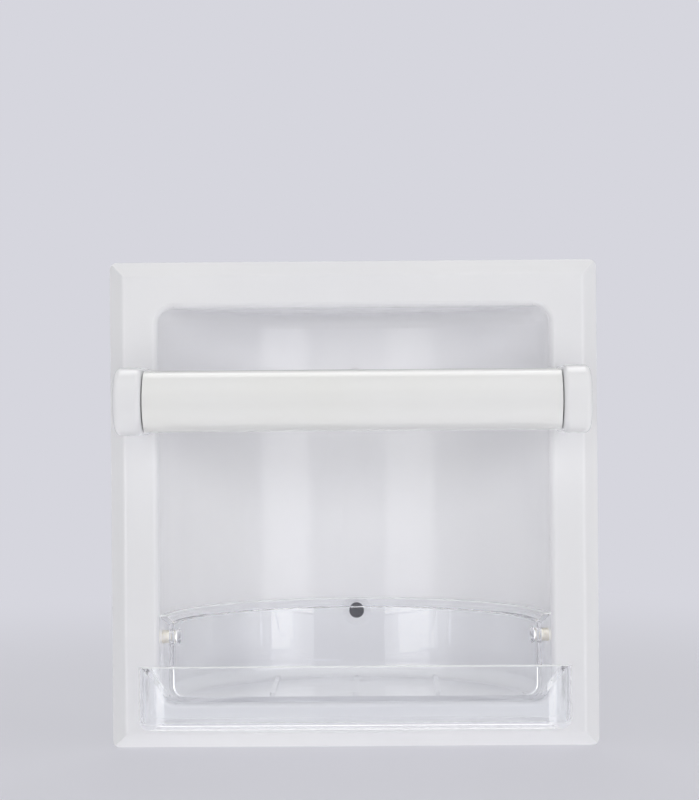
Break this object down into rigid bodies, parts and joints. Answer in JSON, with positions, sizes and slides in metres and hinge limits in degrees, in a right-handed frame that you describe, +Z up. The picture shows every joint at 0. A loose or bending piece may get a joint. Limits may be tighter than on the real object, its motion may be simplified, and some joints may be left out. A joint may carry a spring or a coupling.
{
  "type": "recessed soap holder with grab bar",
  "caption": "White recessed bathroom soap holder: bevelled square flange, round-backed pan, grab bar across it between posts, and a clear soap tray that pulls out.",
  "frame": {"origin": "middle of the wall opening, on the finished wall's surface, which is the plane of the flange's back edge", "axes": "+X to the right as seen from the room, +Y into the wall, +Z up; the grab bar and the tray stand out towards -Y"},
  "size_m": [0.165, 0.106, 0.1646],
  "materials": {
    "white_enamel": "gloss white enamel",
    "white_bar": "gloss white enamel",
    "grey_plastic": "moulded",
    "zinc_plated_steel": "zinc plated",
    "stud_brass": "turned",
    "clear_plastic": "clear polished"
  },
  "bodies": {
    "fixture": {"housing": "white_enamel", "left_post": "white_enamel", "right_post": "white_enamel", "grab_bar": "white_bar", "left_bar_plug": "grey_plastic", "right_bar_plug": "grey_plastic", "set_screws": "zinc_plated_steel", "post_screws": "zinc_plated_steel", "post_washers": "zinc_plated_steel", "tray_studs": "stud_brass"},
    "tray": {"soap_tray": "clear_plastic"}
  },
  "joints": [
    {"name": "tray_slide", "type": "slide", "parent": "fixture", "child": "tray", "axis": [0, -1, 0], "range_m": [0, 0.08]}
  ]
}
